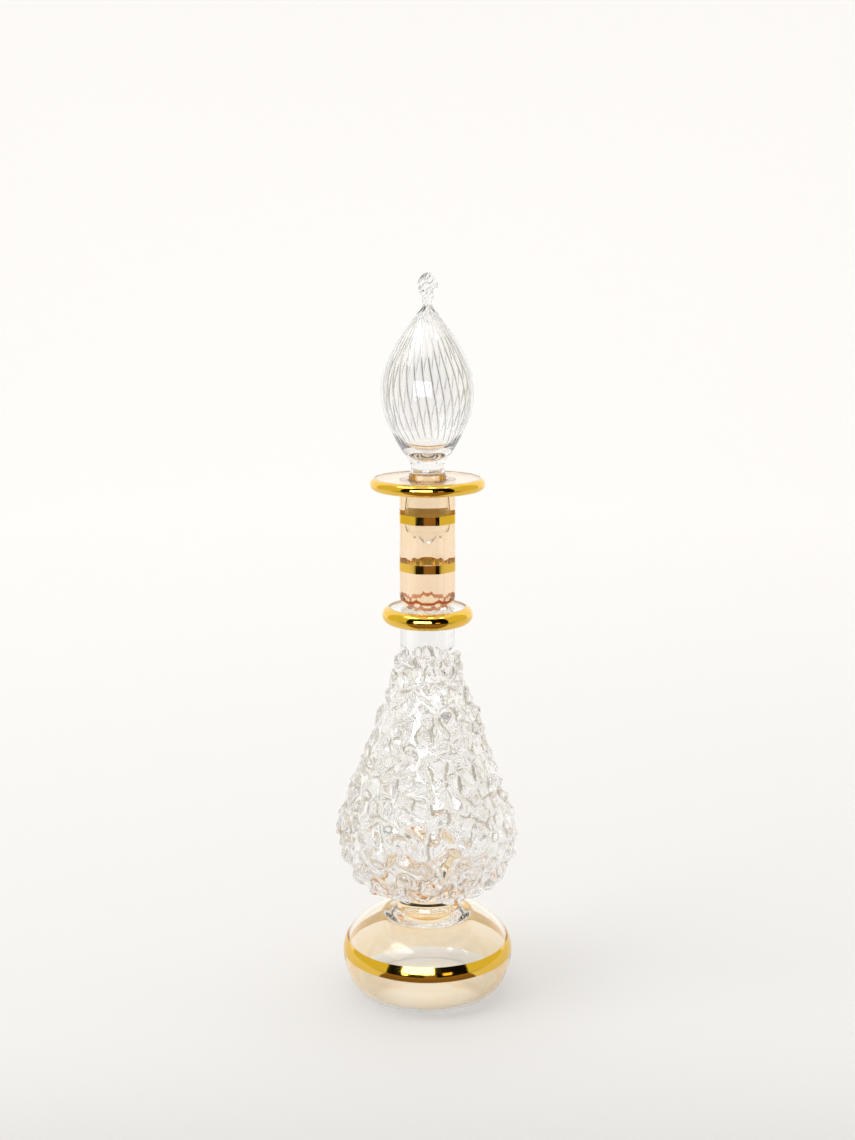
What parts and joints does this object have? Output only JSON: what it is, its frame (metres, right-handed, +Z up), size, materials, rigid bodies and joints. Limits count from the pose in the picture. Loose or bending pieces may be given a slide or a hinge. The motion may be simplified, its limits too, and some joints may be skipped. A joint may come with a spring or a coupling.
{
  "type": "perfume bottle",
  "caption": "Slender glass perfume bottle with a hollow globe foot, crushed-glass teardrop flask, octagonal neck, gilded rims and a hollow blown onion stopper.",
  "frame": {"origin": "centre of the foot's flat base, on the surface the bottle stands on", "axes": "+Z up along the bottle's axis, which is also the way the stopper pulls out; one flat of the octagonal neck faces -Y"},
  "size_m": [0.0451, 0.0449, 0.18],
  "materials": {
    "clear_glass": "polished",
    "crushed_glass": "fire polished chips",
    "peach_glass": "polished, faint peach lustre",
    "amber_glass": "polished",
    "gilding": "fired gold, slightly worn"
  },
  "bodies": {
    "bottle": {"foot_bulb": "peach_glass", "foot_gold_band": "gilding", "foot_stem": "amber_glass", "flask_bulb": "clear_glass", "frit_base": "crushed_glass", "frit_belly": "crushed_glass", "frit_waist": "crushed_glass", "frit_upper": "crushed_glass", "frit_shoulder": "crushed_glass", "throat_tube": "clear_glass", "collar_ring": "clear_glass", "collar_gilding": "gilding", "neck_tube": "peach_glass", "neck_band_lower": "gilding", "neck_band_upper": "gilding", "lip_flange": "peach_glass", "flange_gilding": "gilding", "mouth_ring": "clear_glass"},
    "stopper": {"stopper_plug": "clear_glass", "stopper_throat": "clear_glass", "stopper_bulb": "clear_glass", "stopper_finial": "clear_glass"}
  },
  "joints": [
    {"name": "stopper_lift", "type": "slide", "parent": "bottle", "child": "stopper", "axis": [0, 0, 1], "range_m": [0, 0.03]}
  ]
}
